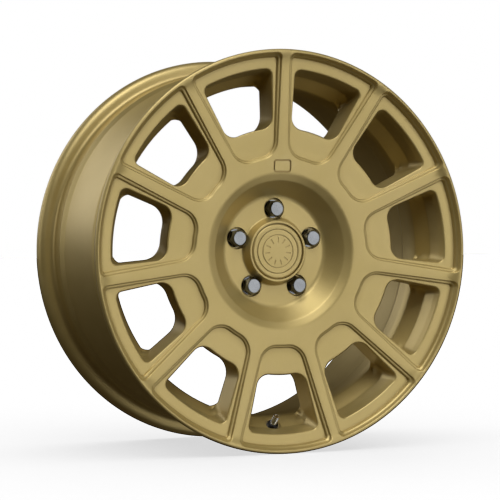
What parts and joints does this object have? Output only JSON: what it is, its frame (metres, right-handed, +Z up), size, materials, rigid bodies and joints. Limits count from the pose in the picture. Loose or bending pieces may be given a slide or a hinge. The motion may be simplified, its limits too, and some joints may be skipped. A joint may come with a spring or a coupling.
{
  "type": "forged racing wheel rim",
  "caption": "One-piece forged wheel with a deep spoked face, sunk hub, snap-in centre cap, closed lug nuts and an angled tyre valve.",
  "frame": {"origin": "centre of the wheel: on its axis, half way between the two flanges", "axes": "+Y along the axle from the outer face towards the vehicle, +Z up, with a spoke at 12 o'clock and the tyre valve at 6 o'clock; the spoked face looks along -Y"},
  "size_m": [0.4711, 0.2176, 0.4712],
  "materials": {
    "gold_forging": "satin gold paint on forged aluminium",
    "gold_cap": "satin gold paint on moulded plastic",
    "chrome": "polished chrome plate",
    "valve_metal": "bright nickel plate",
    "dark_steel": "dark plated steel",
    "spring_steel": "bright spring wire",
    "black_rubber": "matt moulded rubber",
    "black_plastic": "moulded nylon",
    "brass": "turned brass",
    "white_seal": "low-friction seal plastic"
  },
  "bodies": {
    "wheel": {"wheel_forging": "gold_forging", "valve_stem": "valve_metal", "valve_grommet": "black_rubber", "valve_washer": "valve_metal", "valve_nut": "dark_steel", "valve_core_body": "brass", "valve_core_gasket": "white_seal", "valve_core_spring": "spring_steel"},
    "cap": {"cap_shell": "gold_cap", "cap_badge_plate": "gold_cap", "cap_leg_basket": "black_plastic", "cap_spring_ring": "spring_steel"},
    "nut_1": {"lug_nut_1": "chrome"},
    "nut_2": {"lug_nut_2": "chrome"},
    "nut_3": {"lug_nut_3": "chrome"},
    "nut_4": {"lug_nut_4": "chrome"},
    "nut_5": {"lug_nut_5": "chrome"},
    "core_pin": {"valve_core_pin": "brass", "valve_core_seal": "black_rubber"}
  },
  "joints": [
    {"name": "cap_pull", "type": "slide", "parent": "wheel", "child": "cap", "axis": [0, -1, 0], "range_m": [0, 0.03]},
    {"name": "nut_1_unscrew", "type": "slide", "parent": "wheel", "child": "nut_1", "axis": [0, -1, 0], "range_m": [0, 0.035]},
    {"name": "nut_2_unscrew", "type": "slide", "parent": "wheel", "child": "nut_2", "axis": [0, -1, 0], "range_m": [0, 0.035]},
    {"name": "nut_3_unscrew", "type": "slide", "parent": "wheel", "child": "nut_3", "axis": [0, -1, 0], "range_m": [0, 0.035]},
    {"name": "nut_4_unscrew", "type": "slide", "parent": "wheel", "child": "nut_4", "axis": [0, -1, 0], "range_m": [0, 0.035]},
    {"name": "nut_5_unscrew", "type": "slide", "parent": "wheel", "child": "nut_5", "axis": [0, -1, 0], "range_m": [0, 0.035]},
    {"name": "core_pin_press", "type": "slide", "parent": "wheel", "child": "core_pin", "axis": [0, 0.7431, -0.6691], "range_m": [0, 0.0012], "stiffness_N_per_m": 400, "springref_m": -0.002}
  ]
}
